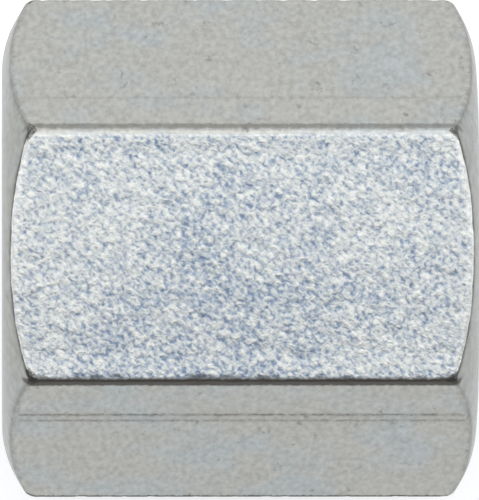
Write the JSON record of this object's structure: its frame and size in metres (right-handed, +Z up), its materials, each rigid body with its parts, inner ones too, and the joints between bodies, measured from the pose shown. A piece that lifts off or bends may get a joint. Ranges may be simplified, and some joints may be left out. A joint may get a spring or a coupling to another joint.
{
  "type": "brake pipe nut",
  "caption": "Hexagonal zinc-plated steel brake pipe nut, threaded inside from one end, with a cone seat for the pipe flare and a plain pipe hole at the other.",
  "frame": {"origin": "on the surface that the nut lies on, under the middle of its length and of its width across corners", "axes": "+X along the nut's axis, out of the threaded end; +Z up, out of the flat that lies uppermost; +Y across the corners"},
  "size_m": [0.0142, 0.015, 0.013],
  "materials": {
    "zinc_plated_steel": "cold-drawn and turned steel, bright zinc plated with a blue-white passivation; one flat pitted and sparkling, the others satin"
  },
  "bodies": {
    "root": {"hex_nut": "zinc_plated_steel"}
  },
  "joints": []
}
